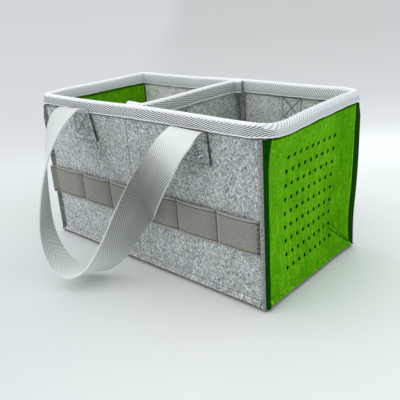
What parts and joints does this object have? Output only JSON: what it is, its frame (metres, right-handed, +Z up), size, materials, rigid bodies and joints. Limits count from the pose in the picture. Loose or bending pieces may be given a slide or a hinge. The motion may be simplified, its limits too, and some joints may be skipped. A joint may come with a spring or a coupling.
{
  "type": "felt bag organizer insert",
  "caption": "Open rectangular felt insert with a sewn-in divider, bound rim, punched ends, a sewn front band and two webbing handles.",
  "frame": {"origin": "on the floor, under the middle of the body", "axes": "+X along the long side, the band on the front towards -Y, +Z up"},
  "size_m": [0.3128, 0.3574, 0.17],
  "materials": {
    "grey_felt": "matte heather felt",
    "green_felt": "matte felt",
    "binding_tape": "woven twill tape, slight sheen",
    "handle_webbing": "woven twill webbing, silvery sheen",
    "band_webbing": "close ribbed band, matte",
    "grey_thread": "sewing thread",
    "green_thread": "sewing thread"
  },
  "bodies": {
    "body": {"front_panel": "grey_felt", "back_panel": "grey_felt", "right_end_panel": "green_felt", "left_end_panel": "green_felt", "base_panel": "grey_felt", "divider_panel": "grey_felt", "rim_binding": "binding_tape", "divider_binding": "binding_tape", "front_band": "band_webbing", "front_left_strap_end": "handle_webbing", "front_right_strap_end": "handle_webbing", "back_left_strap_end": "handle_webbing", "back_right_strap_end": "handle_webbing", "front_left_patch": "grey_felt", "front_right_patch": "grey_felt", "back_left_patch": "grey_felt", "back_right_patch": "grey_felt", "front_left_patch_thread": "grey_thread", "front_right_patch_thread": "grey_thread", "back_left_patch_thread": "grey_thread", "back_right_patch_thread": "grey_thread", "front_bottom_thread": "grey_thread", "back_bottom_thread": "grey_thread", "rim_thread": "grey_thread", "front_divider_thread_left": "grey_thread", "front_divider_thread_right": "grey_thread", "back_divider_thread": "grey_thread", "band_thread_1": "grey_thread", "band_thread_2": "grey_thread", "band_thread_3": "grey_thread", "band_thread_4": "grey_thread", "band_thread_5": "grey_thread", "band_thread_6": "grey_thread", "front_right_corner_thread": "green_thread", "back_right_corner_thread": "green_thread", "front_left_corner_thread": "green_thread", "back_left_corner_thread": "green_thread", "right_bottom_thread": "green_thread", "left_bottom_thread": "green_thread"},
    "front_handle": {"front_handle": "handle_webbing"},
    "back_handle": {"back_handle": "handle_webbing"}
  },
  "joints": [
    {"name": "front_handle_swing", "type": "hinge", "parent": "body", "child": "front_handle", "pos_m": [0, -0.0862, 0.162], "axis": [-1, 0, 0], "range_deg": [0, 140]},
    {"name": "back_handle_swing", "type": "hinge", "parent": "body", "child": "back_handle", "pos_m": [0, 0.0862, 0.162], "axis": [1, 0, 0], "range_deg": [0, 140]}
  ]
}
